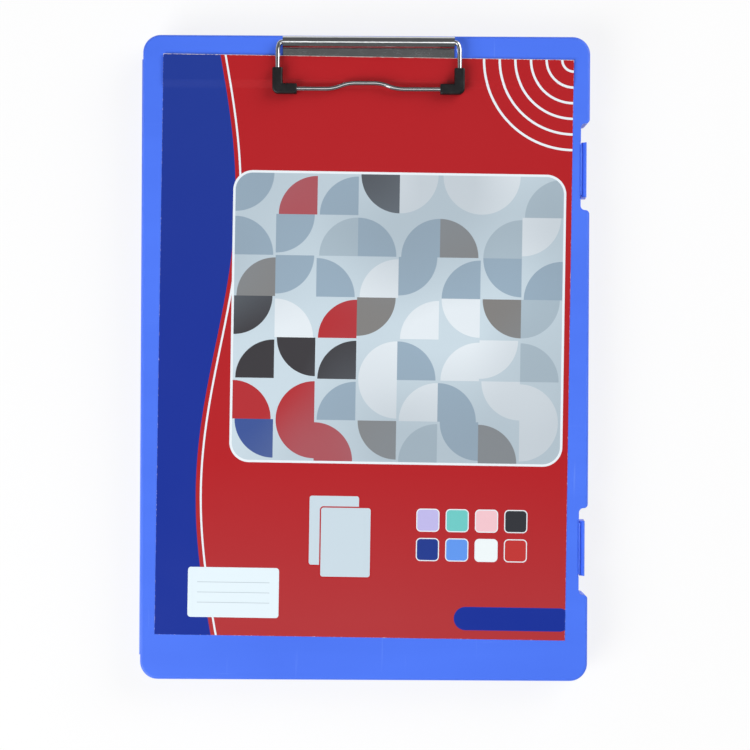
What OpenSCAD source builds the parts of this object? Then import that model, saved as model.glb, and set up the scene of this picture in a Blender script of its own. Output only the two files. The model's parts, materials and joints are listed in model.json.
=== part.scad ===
// Storage clipboard box for A4 sheets.
// A shallow tray and a clipboard lid are moulded in one with a thin hinge web along the left
// long edge. Two hooked flaps on the right edge snap under ledges of the tray, and a wire clip
// stands at the top edge of the lid.
// The box lies flat with its lid up: X runs from the hinge to the latches, Y towards the clip,
// and Z up from the table. The origin is the middle of the footprint. Sizes are millimetres.

/* [Box] */
// Width of the closed box over the hinge web
box_w = 230; // [226:1:250]
// Length of the closed box
box_l = 330; // [326:1:350]
// Height of the tray
base_h = 15; // [13.5:0.5:30]
// Height of the lid over its rim
lid_h = 5; // [4.6:0.2:8]
// Thickness of the side walls
wall_t = 2; // [1.6:0.1:2.4]
// Thickness of the tray's floor
floor_t = 1.8; // [1.2:0.1:3]
// Thickness of the lid's panel
lid_t = 2.2; // [2:0.1:2.6]
// Radius of the four corners seen from above
corner_r = 9; // [6:0.5:14]
// Rounding of the outer top and bottom edges
edge_r = 1.4; // [0.8:0.1:2]
// Gap between the tray's rim and the lid's rim
seam_gap = 0.3; // [0.2:0.05:0.5]

/* [Lid tongue] */
// Thickness of the rib that drops into the tray
tongue_t = 1.2; // [0.8:0.1:1.6]
// How far the rib drops below the lid's rim
tongue_drop = 2; // [1:0.25:3]
// Clearance between the rib and the tray's walls
tongue_gap = 0.5; // [0.3:0.1:0.8]

/* [Hinge web] */
// Thickness of every bending web
web_t = 0.4; // [0.3:0.05:0.5]
// How far the lid's hinge axis stands out from the walls
web_reach = 0.4; // [0.35:0.05:0.7]
// Inner radius of a folded web
web_fold_r = 0.15; // [0.1:0.01:0.2]
// Distance from the end of the hinge web to the corner rounding
web_margin = 3; // [1:0.5:20]

/* [Latches] */
// Width of a latch flap
latch_w = 28; // [22:1:32]
// Distance between the middles of the two latch recesses
latch_pitch = 197; // [170:1:210]
// How far a flap sits from the middle of its recess towards the middle of the box
flap_shift = 1.5; // [0:0.5:2]
// Thickness of a latch flap
latch_t = 2.6; // [2.2:0.1:2.7]
// Width of the recess around a latch at its mouth
notch_w = 49; // [42:1:56]
// Depth of the recess in the lid
notch_d = 4.65; // [4.4:0.05:6]
// Radius of the recess's shoulders
notch_r = 2.3; // [1.8:0.1:2.3]
// Height between the tray's rim and the underside of a catch ledge
catch_drop = 8; // [6:0.25:9]
// How far a ledge or a hook stands out
catch_d = 0.9; // [0.7:0.05:1]
// Overlap of the hook and the ledge when a latch is snapped shut
catch_bite = 0.4; // [0.3:0.05:0.5]
// Space between the ledge and the flap when a latch is snapped shut
catch_gap = 0.5; // [0.4:0.05:0.6]
// Clearance between the released hook and the ledge
release_gap = 0.33; // [0.25:0.01:0.4]
// Number of grip ribs on a flap
grip_n = 4; // [2:1:5]
// Spacing of the grip ribs
grip_pitch = 1.9; // [1.5:0.1:2.2]
// How far a grip rib stands out
grip_h = 0.4; // [0.2:0.05:0.5]

/* [Tray] */
// Width of the pen channel
pen_w = 11.5; // [10:0.5:12]
// Thickness of the divider and the small ribs
rib_t = 1.5; // [1:0.1:2]
// Height of the divider and the small ribs over the floor
rib_h = 9; // [6:0.5:9]
// Length of the paper that the tray is made for
paper_l = 297; // [280:1:300]
// Space between the paper and a paper stop
paper_gap = 2; // [1:0.5:4]
// Length of the finger dip in the divider
dip_l = 60; // [30:5:90]
// Depth of the finger dip
dip_d = 4; // [2:0.5:4.5]

/* [Clip] */
// Length of the rolled tube and width of the clip's plate
clip_w = 87.6; // [80:0.2:100]
// Sideways offset of the clip and the card from the middle of the box
clip_off = 1.5; // [0:0.1:3]
// Distance from the lid's top edge to the back of the rolled tube
clip_inset = 1.1; // [0.2:0.1:4]
// Thickness of the clip's sheet steel
plate_t = 0.8; // [0.6:0.05:0.85]
// Distance from the tube's axis to the plate's front edge
plate_reach = 18.5; // [18:0.5:20]
// Height that the sheet climbs before it is rolled
tube_lift = 0.5; // [0.3:0.1:0.8]
// Slit between the turns of the rolled sheet
roll_slit = 0.1; // [0.06:0.02:0.14]
// Distance between the middles of the two rivets
rivet_pitch = 54; // [40:1:64]
// Distance from the tube's axis to the rivets
rivet_reach = 11.5; // [11:0.5:13]

/* [Bail] */
// Diameter of the spring wire
wire_d = 2.5; // [2:0.1:2.8]
// Radial clearance of the wire in the tube
wire_clear = 0.07; // [0.04:0.01:0.1]
// Distance from the tube's axis to the middle of the front bar
bail_reach = 23.8; // [22.5:0.1:26]
// Length of wire that is left between the two ends inside the tube
wire_end_gap = 8; // [4:1:20]
// Width of the finger hump's crest
hump_w = 9; // [8:0.2:16]
// Length of one ramp of the finger hump
hump_ramp = 15.6; // [13:0.2:18]
// Height of the finger hump
hump_h = 3; // [1.5:0.1:3.2]
// Sideways offset of the finger hump from the middle of the clip
hump_off = -2; // [-5:0.5:5]

/* [Corner sleeves] */
// Width of a sleeve's leg along the arm
sleeve_arm_w = 5.3; // [4.6:0.1:6]
// Width of a sleeve's leg along the front bar
sleeve_bar_w = 5.3; // [4:0.1:5.6]
// Length of a sleeve along the arm
sleeve_arm_l = 13.3; // [11:0.1:15]
// Length of a sleeve along the front bar
sleeve_bar_l = 12.5; // [11:0.5:15]
// Gap between a sleeve and the card where the card lies on the plate
sleeve_gap = 0.2; // [0.15:0.05:0.4]

/* [Card] */
// Width of the display card
card_w = 210; // [200:1:210]
// Length of the display card
card_l = 297; // [280:1:297]
// Thickness of the display card
card_t = 0.25; // [0.2:0.05:0.4]
// Distance from the tube's axis to the card's top edge
card_reach = 6.9; // [6:0.1:10]
// Length over which the card slopes from the plate down to the lid
card_slope = 5; // [3:0.5:8]
// Degrees by which the card hangs askew from the clip, clockwise from above
card_turn = 0.6; // [0:0.1:1]

/* [Hidden] */
$fn = 64;

shell_colour = [0.29, 0.47, 0.94];
web_colour = [0.24, 0.40, 0.84];
steel_colour = [0.78, 0.79, 0.81];
sleeve_colour = [0.07, 0.07, 0.08];
card_colour = [0.72, 0.14, 0.17];

over = 1;                                   // how far a cut runs past a face
least_r = 0.05;                             // smallest radius that is still drawn

// Levels
lid_z = base_h + seam_gap;                  // lid's rim
lid_top = lid_z + lid_h;
lid_under = lid_top - lid_t;                // underside of the lid's panel

// Outline of the box; the hinge web stands out on the left
hinge_fold_r = seam_gap / 2;                // inner radius of the hinge web's loop
x_right = box_w / 2;
x_left = -box_w / 2 + hinge_fold_r + web_t + web_reach;
body_w = x_right - x_left;
x_mid = (x_right + x_left) / 2;

// Axis of the lid's hinge
hinge_x = x_left - web_reach;
hinge_z = base_h + hinge_fold_r;

// Across a latch, from the lid's notch outwards
web_leg = 0.3;                              // straight end of a crease web
land_x = x_right - notch_d;                 // edge of the lid that carries the crease
crease_x = land_x + web_leg;                // axis of a latch
flap_in_x = crease_x + web_fold_r;          // inner face of a flap
flap_out_x = flap_in_x + latch_t;
ledge_x = flap_in_x - catch_gap;            // tip of a catch ledge
tray_notch_x = ledge_x - catch_d;           // outer face of the tray's recessed wall
tray_notch_d = x_right - tray_notch_x;
hook_x = ledge_x - catch_bite;              // tip of a hook

// Along the right side
recess_y = latch_pitch / 2;                 // middle of the upper recess
flap_y = recess_y - flap_shift;             // middle of the upper flap

// Up and down a latch
crease_drop = 1.5;                          // depth of a latch's axis below the lid's top
crease_z = lid_top - crease_drop;
groove_rise = 0.05;                         // from the crease web's top to the groove's slopes
groove_z = crease_z + web_fold_r + web_t + groove_rise;
flap_top_z = crease_z - web_leg;            // top of a flap beside its web
ledge_z = base_h - catch_drop;              // underside of a catch ledge
ledge_t = 1.3;                              // height of a ledge's flat tip
ledge_ramp = 1.4;                           // height of its lead-in slope
hook_play = 0.5;                            // space between a snapped hook and its ledge
hook_z = ledge_z - hook_play;               // top of a hook
hook_t = 0.8;                               // height of a hook's flat tip
hook_ramp = 1.5;                            // height of its lead-in slope
toe_drop = 0.5;                             // how far a flap reaches below its hook
toe_z = hook_z - hook_t - hook_ramp - toe_drop;
release_angle = asin((catch_bite + release_gap) / (crease_z - hook_z));
groove_w = 0.8;                             // width of the bevel that opens the crease
groove_l = latch_w + 1;
shoulder_gap = 0.3;                         // from the crease web to the foot of the flap's lip
lip_gap = 0.3;                              // clearance of the lip over the lid, folded out flat
lip_drop = 0.3;                             // from the lid's top down to the lip's top
shoulder_x = flap_in_x + web_t + shoulder_gap;
lip_x = crease_x + crease_drop + lip_gap;   // inner face of the lip
lip_top_z = lid_top - lip_drop;
crease_l = latch_w - 2;                     // length of a crease web
ledge_l = latch_w - 6;
flap_bevel = 0.3;                           // bevel on the lip's outer edge
toe_r = 2.5;                                // radius of a flap's lower corners
grip_r = 0.7;                               // radius of a grip rib
grip_l = latch_w - 6;
grip_foot = 1.6;                            // height of the lowest rib over the flap's end

// Inside the tray
inner_left_x = x_left + wall_t;
inner_right_x = x_right - wall_t;
divider_x = inner_right_x - pen_w - rib_t;  // left face of the divider
channel_x = divider_x + rib_t;
stop_y = paper_l / 2 + paper_gap;           // face of the paper stops
notch_inner_w = notch_w - 2 * notch_r + 2 * wall_t;
channel_end_y = recess_y - notch_inner_w / 2;
recess_end = 0.5;                           // straight wall at each end of a recess piece
recess_l = notch_w + 2 * recess_end;
stop_share = 0.6;                           // share of a paper stop below and behind its bevel

// Clip
wire_r = wire_d / 2;
bore_r = wire_r + wire_clear;
inner_roll_r = bore_r + plate_t;
outer_roll_r = inner_roll_r + roll_slit;
tube_r = outer_roll_r + plate_t;
tube_y = box_l / 2 - clip_inset - tube_r;
tube_z = lid_top + tube_lift + tube_r;
step_back = 3;                              // from the tube's axis to the top of the sheet's step
step_front = 4.8;                           // from the tube's axis to the foot of the step
step_shift = 0.2;                           // how much further out the underside bends
roll_from = -90;                            // angle where the rolled sheet leaves the foot
roll_to = 535;                              // angle where its inner turn ends
roll_steps = 90;
dive_from = 190;                            // angle where the outer turn starts to dive inside
dive_to = 250;
bore_stock = 0.1;                           // metal that the round bore takes off the inner turn
foot_corner_r = 3;
seat_depth = 0.6;                           // how deep a rivet seat is pressed
seat_wall = plate_t;
rivet_r = 1.95;
rivet_head_r = 3.5;
rivet_clear = 0.1;
rivet_tail_r = 3.1;
rivet_tail_t = 0.9;
head_clear = 0.2;
seat_r = rivet_head_r + head_clear;         // inside radius of a rivet seat
pocket_clear = 0.2;                         // clearance round a seat in the lid
pocket_play = 0.05;                         // clearance under a seat in the lid
washer_t = 0.8;
washer_r = 4.5;

// Bail, in the plane of the tube's axis
bend_split = 70;                            // angle turned by the tight bend beside the tube
tight_r = 2;
slow_r = 10;
corner_bend_r = 3;
bend_gap = 0.15;                            // from the tube's end to the start of the bend
bend_x = clip_w / 2 + bend_gap;
end_lap = 3;                                // how far the bent wire runs into its straight ends
bent_wire_r = wire_r - 0.01;                // a hair thinner than the ends that turn in the tube
bent_wire_sides = 20;
bend_side = 90 - bend_split;
arm_x = bend_x + (tight_r - slow_r) * cos(bend_side) + slow_r;
arm_y = -tight_r + (tight_r - slow_r) * sin(bend_side);
ramp_angle = 2 * atan(hump_h / hump_ramp);
ramp_r = hump_ramp / (2 * sin(ramp_angle));

// Card and sleeves
card_top_y = tube_y - card_reach;
plate_front_y = tube_y - plate_reach;
sleeve_h = 2 * (tube_z - lid_top - plate_t - card_t - sleeve_gap);
sleeve_fit = 0.05;                          // radial clearance of the wire in a sleeve
sleeve_bore_r = wire_r + sleeve_fit;
sleeve_front = bail_reach + sleeve_bar_w / 2;
sleeve_edge_r = 0.9;
sleeve_corner_r = 3.2;

// ---------------------------------------------------------------- helpers

// Extrudes a (Y, Z) profile along X, centred
module along_x(length) {
    translate([-length / 2, 0, 0])
        rotate([90, 0, 90])
            linear_extrude(length)
                children();
}

// Extrudes an (X, Z) profile along Y, centred
module along_y(length) {
    translate([0, length / 2, 0])
        rotate([90, 0, 0])
            linear_extrude(length)
                children();
}

// Ring sector about Y, seen in (X, Z), from angle a0 to a1
module ring_about_y(r_in, r_out, a0, a1, length) {
    rotate([90, 0, 0])
        rotate([0, 0, a0])
            rotate_extrude(angle = a1 - a0)
                translate([r_in, -length / 2])
                    square([r_out - r_in, length]);
}

module round_rect(w, l, r) {
    square([w - 2 * r, l], center = true);
    square([w, l - 2 * r], center = true);
    for (sx = [-1, 1], sy = [-1, 1])
        translate([sx * (w / 2 - r), sy * (l / 2 - r)])
            circle(r);
}

// What a square corner loses when it is rounded; the corner points to +X +Y
module corner_waste(r) {
    difference() {
        translate([-r, -r])
            square(r + over);
        translate([-r, -r])
            circle(r);
    }
}

// Two copies on the latch side, at y and -y
module both_latches(y) {
    for (sy = [-1, 1])
        translate([0, sy * y, 0])
            children();
}

// ---------------------------------------------------------------- box outline

// Recess around one latch, for an outline that is drawn in by inset
module notch(depth, inset) {
    edge_x = x_right - inset;
    floor_x = edge_x - depth;
    floor_r = notch_r + inset;
    half = notch_w / 2 - notch_r + inset;
    mouth_r = notch_r - inset;
    translate([floor_x + floor_r, -half])
        square([depth - floor_r + inset + over, 2 * half]);
    translate([floor_x, -half + floor_r])
        square([floor_r + over, 2 * (half - floor_r)]);
    for (s = [-1, 1])
        translate([floor_x + floor_r, s * (half - floor_r)])
            circle(floor_r);
    if (mouth_r > least_r)
        for (s = [-1, 1])
            translate([edge_x - mouth_r, s * (half + mouth_r)])
                difference() {
                    translate([0, s > 0 ? -mouth_r : 0])
                        square([mouth_r + over, mouth_r]);
                    circle(mouth_r);
                }
}

module outline(inset, notch_depth) {
    difference() {
        translate([x_mid, 0])
            round_rect(body_w - 2 * inset, box_l - 2 * inset, corner_r - inset);
        both_latches(recess_y)
            notch(notch_depth, inset);
    }
}

// Waste of the rounded outer edge all round the box, at z = 0 with the box above it
module edge_waste() {
    half_w = body_w / 2;
    half_l = box_l / 2;
    translate([x_mid, 0, 0]) {
        for (s = [0, 180])
            rotate([0, 0, s]) {
                translate([half_w, 0, 0])
                    along_y(box_l - 2 * corner_r)
                        mirror([0, 1])
                            corner_waste(edge_r);
                translate([0, half_l, 0])
                    along_x(body_w - 2 * corner_r)
                        mirror([0, 1])
                            corner_waste(edge_r);
            }
        for (i = [0 : 3])
            translate([
                (i == 0 || i == 3 ? 1 : -1) * (half_w - corner_r),
                (i < 2 ? 1 : -1) * (half_l - corner_r),
                0
            ])
                rotate([0, 0, 90 * i])
                    rotate_extrude(angle = 90)
                        translate([corner_r, 0])
                            mirror([0, 1])
                                corner_waste(edge_r);
    }
}

// ---------------------------------------------------------------- tray
// The tray is one moulding. Its walls and ribs stand on the floor as pieces of their own, and the
// right wall is parted where it turns in round a latch.

module tray_floor() {
    color(shell_colour)
    difference() {
        linear_extrude(floor_t)
            outline(0, tray_notch_d);
        edge_waste();
    }
}

// Plan of all the outer walls
module wall_plan() {
    difference() {
        outline(0, tray_notch_d);
        outline(wall_t, tray_notch_d);
    }
}

// Stretch of the right side from y0 to y1, seen from above
module side_stretch(y0, y1) {
    translate([channel_x, y0])
        square([x_right - channel_x + over, y1 - y0]);
}

// Gusset that holds the sheets away from an end wall
module paper_stop() {
    depth = box_l / 2 - wall_t / 2 - stop_y;
    translate([0, stop_y + depth, 0])
        rotate([90, 0, -90])
            translate([0, 0, -rib_t / 2])
                linear_extrude(rib_t)
                    polygon([
                        [0, floor_t],
                        [depth, floor_t],
                        [depth, floor_t + rib_h * stop_share],
                        [depth * stop_share, floor_t + rib_h],
                        [0, floor_t + rib_h]
                    ]);
}

// Hinge side, both ends and the corners, with the paper stops
module tray_walls() {
    end_y = recess_y + recess_l / 2;
    color(shell_colour)
    difference() {
        union() {
            translate([0, 0, floor_t])
                linear_extrude(base_h - floor_t)
                    difference() {
                        wall_plan();
                        side_stretch(-end_y, end_y);
                    }
            for (side = [0, 1], k = [-1 : 1])
                mirror([0, side, 0])
                    translate([(inner_left_x + divider_x) / 2 + k * (divider_x - inner_left_x) / 3, 0, 0])
                        paper_stop();
        }
        edge_waste();
    }
}

// Right wall between the latches
module tray_side() {
    length = 2 * recess_y - recess_l;
    color(shell_colour)
    difference() {
        translate([inner_right_x, -length / 2, floor_t])
            cube([wall_t, length, base_h - floor_t]);
        edge_waste();
    }
}

// Catch ledge on the recessed wall: flat underside, sloping lead-in above
module catch_ledge() {
    along_y(ledge_l)
        polygon([
            [tray_notch_x - wall_t / 2, ledge_z],
            [ledge_x, ledge_z],
            [ledge_x, ledge_z + ledge_t],
            [tray_notch_x, ledge_z + ledge_t + ledge_ramp],
            [tray_notch_x - wall_t / 2, ledge_z + ledge_t + ledge_ramp]
        ]);
}

// Right wall round the upper latch, with its ledge and the rib that ends the pen channel
module tray_recess_upper() {
    color(shell_colour)
    difference() {
        union() {
            translate([0, 0, floor_t])
                linear_extrude(base_h - floor_t)
                    intersection() {
                        wall_plan();
                        side_stretch(recess_y - recess_l / 2, recess_y + recess_l / 2);
                    }
            translate([0, flap_y, 0])
                catch_ledge();
            translate([channel_x, channel_end_y, floor_t])
                cube([tray_notch_x + notch_r + recess_end - channel_x, rib_t, rib_h]);
        }
        edge_waste();
    }
}

module tray_recess_lower() {
    mirror([0, 1, 0])
        tray_recess_upper();
}

// Long rib between the paper and the pen, dipped in the middle for a finger
module tray_divider() {
    dip_r = (dip_d * dip_d + dip_l * dip_l / 4) / (2 * dip_d);
    color(shell_colour)
    difference() {
        translate([divider_x, -stop_y, floor_t])
            cube([rib_t, 2 * stop_y, rib_h]);
        translate([divider_x - over, 0, floor_t + rib_h - dip_d + dip_r])
            rotate([0, 90, 0])
                cylinder(h = rib_t + 2 * over, r = dip_r);
    }
}

// ---------------------------------------------------------------- lid

module lid_panel() {
    color(shell_colour)
    difference() {
        translate([0, 0, lid_under])
            linear_extrude(lid_t)
                outline(0, notch_d);
        translate([0, 0, lid_top])
            mirror([0, 0, 1])
                edge_waste();
        // bevel that opens each crease
        both_latches(flap_y)
            along_y(groove_l)
                polygon([
                    [land_x + over, groove_z],
                    [land_x, groove_z],
                    [land_x - groove_w, lid_top],
                    [land_x - groove_w, lid_top + over],
                    [land_x + over, lid_top + over]
                ]);
        at_rivets() {
            translate([0, 0, lid_top - seat_depth - pocket_play])
                cylinder(h = seat_depth + over, r = seat_r + seat_wall + pocket_clear);
            translate([0, 0, lid_under - over])
                cylinder(h = lid_t + 2 * over, r = rivet_r + rivet_clear);
        }
    }
}

// Rim under the lid's panel, with the tongue that drops inside the tray's walls
module lid_rim() {
    tongue_in = wall_t + tongue_gap;
    tongue_z = lid_z - tongue_drop;
    color(shell_colour)
    difference() {
        union() {
            translate([0, 0, lid_z])
                linear_extrude(lid_under - lid_z)
                    outline(0, notch_d);
            translate([0, 0, tongue_z])
                linear_extrude(lid_under - tongue_z)
                    outline(tongue_in, tray_notch_d);
        }
        translate([0, 0, tongue_z - over])
            linear_extrude(lid_under - tongue_z + 2 * over)
                outline(tongue_in + tongue_t, tray_notch_d);
    }
}

// Living hinge of the lid: a folded loop that stands out from both rims
module hinge_web() {
    length = box_l - 2 * (corner_r + web_margin);
    color(web_colour)
    translate([hinge_x, 0, hinge_z]) {
        ring_about_y(hinge_fold_r, hinge_fold_r + web_t, 90, 270, length);
        for (s = [-1, 1])
            translate([web_reach / 2, 0, s * (hinge_fold_r + web_t / 2)])
                cube([web_reach, length, web_t], center = true);
    }
}

// ---------------------------------------------------------------- latches

// Turns a latch from snapped shut to just released, about its crease
module released() {
    translate([crease_x, 0, crease_z])
        rotate([0, -release_angle, 0])
            translate([-crease_x, 0, -crease_z])
                children();
}

// Flap with its hook inside, grip ribs outside and a lip on top that stands beside the crease
module latch_flap() {
    grip_top = toe_z + grip_foot + (grip_n - 1) * grip_pitch;
    flap_l = lip_top_z - toe_z;
    color(shell_colour)
    released() {
        intersection() {
            along_y(latch_w)
                polygon([
                    [flap_in_x, flap_top_z],
                    [flap_in_x, hook_z],
                    [hook_x, hook_z],
                    [hook_x, hook_z - hook_t],
                    [flap_in_x, hook_z - hook_t - hook_ramp],
                    [flap_in_x, toe_z],
                    [flap_out_x, toe_z],
                    [flap_out_x, lip_top_z - flap_bevel],
                    [flap_out_x - flap_bevel, lip_top_z],
                    [lip_x, lip_top_z],
                    [lip_x, groove_z],
                    [shoulder_x, flap_top_z]
                ]);
            // rounded lower corners
            translate([(hook_x + flap_out_x) / 2, 0, 0])
                along_x(flap_out_x - hook_x + 2 * over)
                    translate([0, toe_z + flap_l])
                        difference() {
                            translate([-latch_w / 2, -flap_l])
                                square([latch_w, flap_l]);
                            for (s = [0, 1])
                                mirror([s, 0])
                                    translate([latch_w / 2, -flap_l])
                                        mirror([0, 1])
                                            corner_waste(toe_r);
                        }
        }
        for (i = [0 : grip_n - 1])
            translate([flap_out_x + grip_h - grip_r, 0, grip_top - i * grip_pitch])
                rotate([90, 0, 0])
                    cylinder(h = grip_l, r = grip_r, center = true);
    }
}

// Crease web: a short leg on the lid, a fold about the crease and a short leg on the flap
module latch_crease() {
    r_out = web_fold_r + web_t;
    color(web_colour) {
        translate([crease_x, 0, crease_z]) {
            ring_about_y(web_fold_r, r_out, release_angle, 90, crease_l);
            translate([-web_leg / 2, 0, web_fold_r + web_t / 2])
                cube([web_leg, crease_l, web_t], center = true);
        }
        released()
            translate([crease_x + web_fold_r + web_t / 2, 0, crease_z - web_leg / 2])
                cube([web_t, crease_l, web_leg], center = true);
    }
}

module latch_upper() {
    translate([0, flap_y, 0])
        latch_flap();
}

module latch_lower() {
    translate([0, -flap_y, 0])
        latch_flap();
}

module latch_web_upper() {
    translate([0, flap_y, 0])
        latch_crease();
}

module latch_web_lower() {
    translate([0, -flap_y, 0])
        latch_crease();
}

// ---------------------------------------------------------------- clip

// Moves to the middle of the rolled tube's axis
module at_tube() {
    translate([clip_off, tube_y, tube_z])
        children();
}

module at_rivets(which = [-1, 1]) {
    for (s = which)
        translate([clip_off + s * rivet_pitch / 2, tube_y - rivet_reach, 0])
            children();
}

// Point of the rolled sheet's skin, which starts at radius r and loses drop in the dive
function roll_point(angle, r, drop) =
    let (dive = max(0, min(1, (angle - dive_from) / (dive_to - dive_from))))
    (r - drop * dive) * [cos(angle), sin(angle)];

// Section of the sheet in (Y, Z) about the tube's axis: a flat foot, a step up, and two turns
// that end in a round bore
module sheet_section() {
    foot_bottom = -tube_r - tube_lift;
    foot_top = foot_bottom + plate_t;
    turn_in = plate_t + roll_slit;
    angles = [for (i = [0 : roll_steps]) roll_from + (roll_to - roll_from) * i / roll_steps];
    difference() {
        polygon(concat(
            [
                [-step_back, -tube_r + plate_t],
                [-step_front, foot_top],
                [-plate_reach, foot_top],
                [-plate_reach, foot_bottom],
                [-step_front - step_shift, foot_bottom],
                [-step_back - step_shift, -tube_r]
            ],
            [for (a = angles) roll_point(a, tube_r, turn_in)],
            reversed([for (a = angles) roll_point(a, outer_roll_r, turn_in + bore_stock)])
        ));
        circle(bore_r);
    }
}

module clip_plate() {
    color(steel_colour)
    difference() {
        union() {
            at_tube()
                along_x(clip_w)
                    sheet_section();
            at_rivets()
                translate([0, 0, lid_top - seat_depth])
                    cylinder(h = seat_depth + plate_t / 2, r = seat_r + seat_wall);
        }
        at_rivets() {
            translate([0, 0, lid_top + plate_t - seat_depth])
                cylinder(h = seat_depth + over, r = seat_r);
            translate([0, 0, lid_under])
                cylinder(h = lid_t + plate_t, r = rivet_r + rivet_clear);
        }
        // rounded front corners of the foot
        translate([clip_off, plate_front_y, lid_top - over])
            for (s = [0, 1])
                mirror([s, 0, 0])
                    translate([clip_w / 2, 0, 0])
                        linear_extrude(plate_t + 2 * over)
                            mirror([0, 1])
                                corner_waste(foot_corner_r);
    }
}

// Points on an arc of the bail's plane
function arc_points(centre, r, a0, a1, steps) =
    [for (i = [0 : steps]) let (a = a0 + (a1 - a0) * i / steps) centre + r * [cos(a), sin(a)]];

function mirrored(points) = [for (p = points) [-p.x, p.y]];

function reversed(points) = [for (i = [len(points) - 1 : -1 : 0]) points[i]];

// Middle line of one side: out of the tube, down the arm and round the corner
function side_line() = concat(
    [[bend_x - end_lap, 0]],
    arc_points([bend_x, -tight_r], tight_r, 90, bend_side, 8),
    arc_points([arm_x - slow_r, arm_y], slow_r, bend_side * 5 / 6, 0, 5),
    arc_points([arm_x - corner_bend_r, -bail_reach + corner_bend_r], corner_bend_r, 0, -90, 8)
);

// Middle line of one half of the finger hump, from the bar up to the crest
function hump_line() = concat(
    arc_points([hump_w / 2 + hump_ramp, -bail_reach + ramp_r], ramp_r, 270, 270 - ramp_angle, 5),
    arc_points([hump_w / 2, -bail_reach + hump_h - ramp_r], ramp_r, 90 - ramp_angle * 4 / 5, 90, 4)
);

function bail_line() =
    let (hump = concat(hump_line(), reversed(mirrored(hump_line()))))
    concat(
        side_line(),
        [for (p = hump) p + [hump_off, 0]],
        reversed(mirrored(side_line()))
    );

// Round wire along a line of the plane z = 0, as one closed skin
module wire_along(line, r, sides) {
    last = len(line) - 1;
    ring = [for (i = [0 : last])
        let (
            ahead = line[min(i + 1, last)] - line[i],
            behind = line[i] - line[max(i - 1, 0)],
            way = (i < last ? ahead / norm(ahead) : [0, 0]) + (i > 0 ? behind / norm(behind) : [0, 0]),
            across = [-way.y, way.x] / norm(way)
        )
        for (k = [0 : sides - 1])
            let (a = 360 * (k + 0.5) / sides)
            [line[i].x + r * cos(a) * across.x, line[i].y + r * cos(a) * across.y, r * sin(a)]
    ];
    skin = [for (i = [0 : last - 1], k = [0 : sides - 1])
        let (j = (k + 1) % sides)
        [i * sides + k, (i + 1) * sides + k, (i + 1) * sides + j, i * sides + j]
    ];
    caps = [
        [for (k = [0 : sides - 1]) k],
        [for (k = [sides - 1 : -1 : 0]) last * sides + k]
    ];
    polyhedron(points = ring, faces = concat(skin, caps), convexity = 6);
}

// The ends that turn in the tube are true cylinders
module clip_bail() {
    color(steel_colour)
    at_tube() {
        wire_along(bail_line(), bent_wire_r, bent_wire_sides);
        for (side = [0, 1])
            mirror([side, 0, 0])
                translate([wire_end_gap / 2, 0, 0])
                    rotate([0, 90, 0])
                        cylinder(h = bend_x - wire_end_gap / 2, r = wire_r);
    }
}

// Passage of the wire through a corner sleeve, open at both ends
module corner_passage() {
    corner_x = arm_x - corner_bend_r;
    corner_y = -bail_reach + corner_bend_r;
    translate([arm_x, corner_y, 0])
        rotate([-90, 0, 0])
            cylinder(h = sleeve_arm_l, r = sleeve_bore_r);
    translate([corner_x, corner_y, 0])
        rotate([0, 0, 270])
            rotate_extrude(angle = 90)
                translate([corner_bend_r, 0])
                    circle(sleeve_bore_r);
    translate([corner_x, -bail_reach, 0])
        rotate([0, -90, 0])
            cylinder(h = sleeve_bar_l, r = sleeve_bore_r);
}

// Corner sleeve on the right of the clip
module corner_sleeve() {
    outer_x = arm_x + sleeve_arm_w / 2;
    color(sleeve_colour)
    difference() {
        intersection() {
            union() {
                translate([arm_x, -sleeve_front + sleeve_arm_l / 2, 0])
                    along_y(sleeve_arm_l)
                        round_rect(sleeve_arm_w, sleeve_h, sleeve_edge_r);
                translate([outer_x - sleeve_bar_l / 2, -bail_reach, 0])
                    along_x(sleeve_bar_l)
                        round_rect(sleeve_bar_w, sleeve_h, sleeve_edge_r);
            }
            // plan of the sleeve with its outer corner rounded
            linear_extrude(sleeve_h + 2 * over, center = true)
                difference() {
                    translate([outer_x - sleeve_bar_l, -sleeve_front])
                        square([sleeve_bar_l, sleeve_arm_l]);
                    translate([outer_x, -sleeve_front])
                        mirror([0, 1])
                            corner_waste(sleeve_corner_r);
                }
        }
        corner_passage();
    }
}

module clip_sleeve_right() {
    at_tube()
        corner_sleeve();
}

module clip_sleeve_left() {
    at_tube()
        mirror([1, 0, 0])
            corner_sleeve();
}

// Rivet: flat head in its seat, shank through the lid and a closed tail under the washer
module rivet() {
    head_top = lid_top + plate_t;
    head_under = head_top - seat_depth;
    tail_top = lid_under - washer_t;
    color(steel_colour) {
        translate([0, 0, head_under])
            cylinder(h = seat_depth, r = rivet_head_r);
        translate([0, 0, tail_top - rivet_tail_t / 2])
            cylinder(h = head_under - tail_top + rivet_tail_t, r = rivet_r);
        translate([0, 0, tail_top - rivet_tail_t / 2])
            cylinder(h = rivet_tail_t / 2, r = rivet_tail_r);
        translate([0, 0, tail_top - rivet_tail_t])
            cylinder(h = rivet_tail_t / 2, r1 = rivet_r, r2 = rivet_tail_r);
    }
}

module washer() {
    color(steel_colour)
    translate([0, 0, lid_under - washer_t])
        difference() {
            cylinder(h = washer_t, r = washer_r);
            translate([0, 0, -over])
                cylinder(h = washer_t + 2 * over, r = rivet_r + rivet_clear);
        }
}

module rivet_left() {
    at_rivets([-1])
        rivet();
}

module rivet_right() {
    at_rivets([1])
        rivet();
}

module washer_left() {
    at_rivets([-1])
        washer();
}

module washer_right() {
    at_rivets([1])
        washer();
}

// ---------------------------------------------------------------- card

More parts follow.
